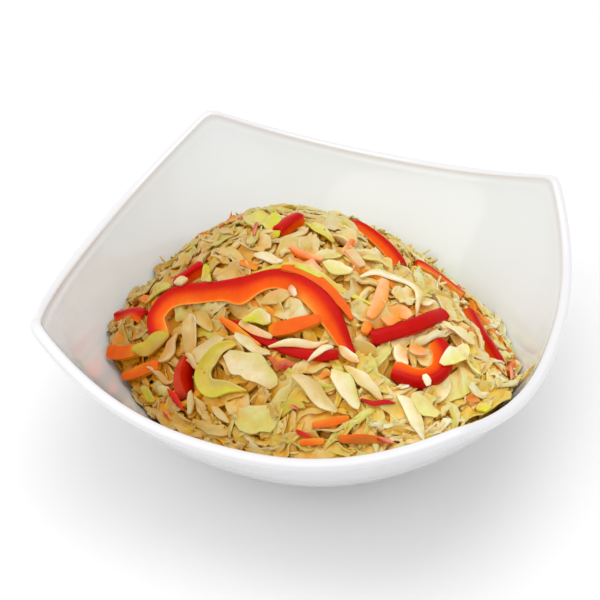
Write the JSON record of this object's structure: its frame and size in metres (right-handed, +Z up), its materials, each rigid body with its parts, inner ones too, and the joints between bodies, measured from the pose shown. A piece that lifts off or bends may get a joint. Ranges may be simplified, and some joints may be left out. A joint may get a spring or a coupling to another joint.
{
  "type": "bowl of coleslaw",
  "caption": "Square white porcelain bowl with bowed sides and raised corners, filled with a heap of shredded cabbage and carrot topped with strips of sweet red pepper.",
  "frame": {"origin": "centre of the bowl's foot ring at the level of the table", "axes": "+Z up; the bowl's four sides run along X and Y; the picture looks along +Y from above, turned 20 degrees towards +X"},
  "size_m": [0.168, 0.168, 0.0767],
  "materials": {
    "porcelain": "white glossy glaze",
    "cabbage": "moist cream and pale green shreds",
    "pepper": "glossy red skin over orange flesh"
  },
  "bodies": {
    "root": {"bowl": "porcelain", "coleslaw": "cabbage", "pepper_arch": "pepper", "pepper_bar": "pepper", "pepper_curl": "pepper", "pepper_arc": "pepper", "pepper_back_right": "pepper", "pepper_top": "pepper", "pepper_back_left": "pepper", "pepper_left": "pepper", "pepper_wedge": "pepper", "pepper_right": "pepper", "pepper_edge": "pepper"}
  },
  "joints": []
}
